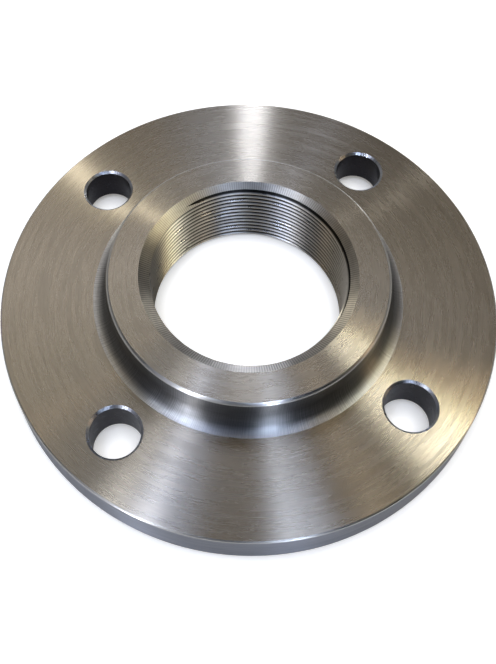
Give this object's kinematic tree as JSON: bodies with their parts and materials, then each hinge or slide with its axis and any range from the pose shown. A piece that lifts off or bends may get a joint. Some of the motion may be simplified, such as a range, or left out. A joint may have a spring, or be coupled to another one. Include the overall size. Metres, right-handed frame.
{
  "type": "threaded flange",
  "caption": "Round steel pipe flange with a short hub, an internal pipe thread through its middle and a ring of bolt holes.",
  "frame": {"origin": "middle of the raised joint face, on the axis of the bore; the flange rests on that face", "axes": "+Z along the bore from the joint face to the hub face; the bolt holes lie astride +X and +Y"},
  "size_m": [0.185, 0.185, 0.032],
  "materials": {
    "turned_steel": "turned stainless steel with fine circular tool marks"
  },
  "bodies": {
    "root": {"flange": "turned_steel"}
  },
  "joints": []
}
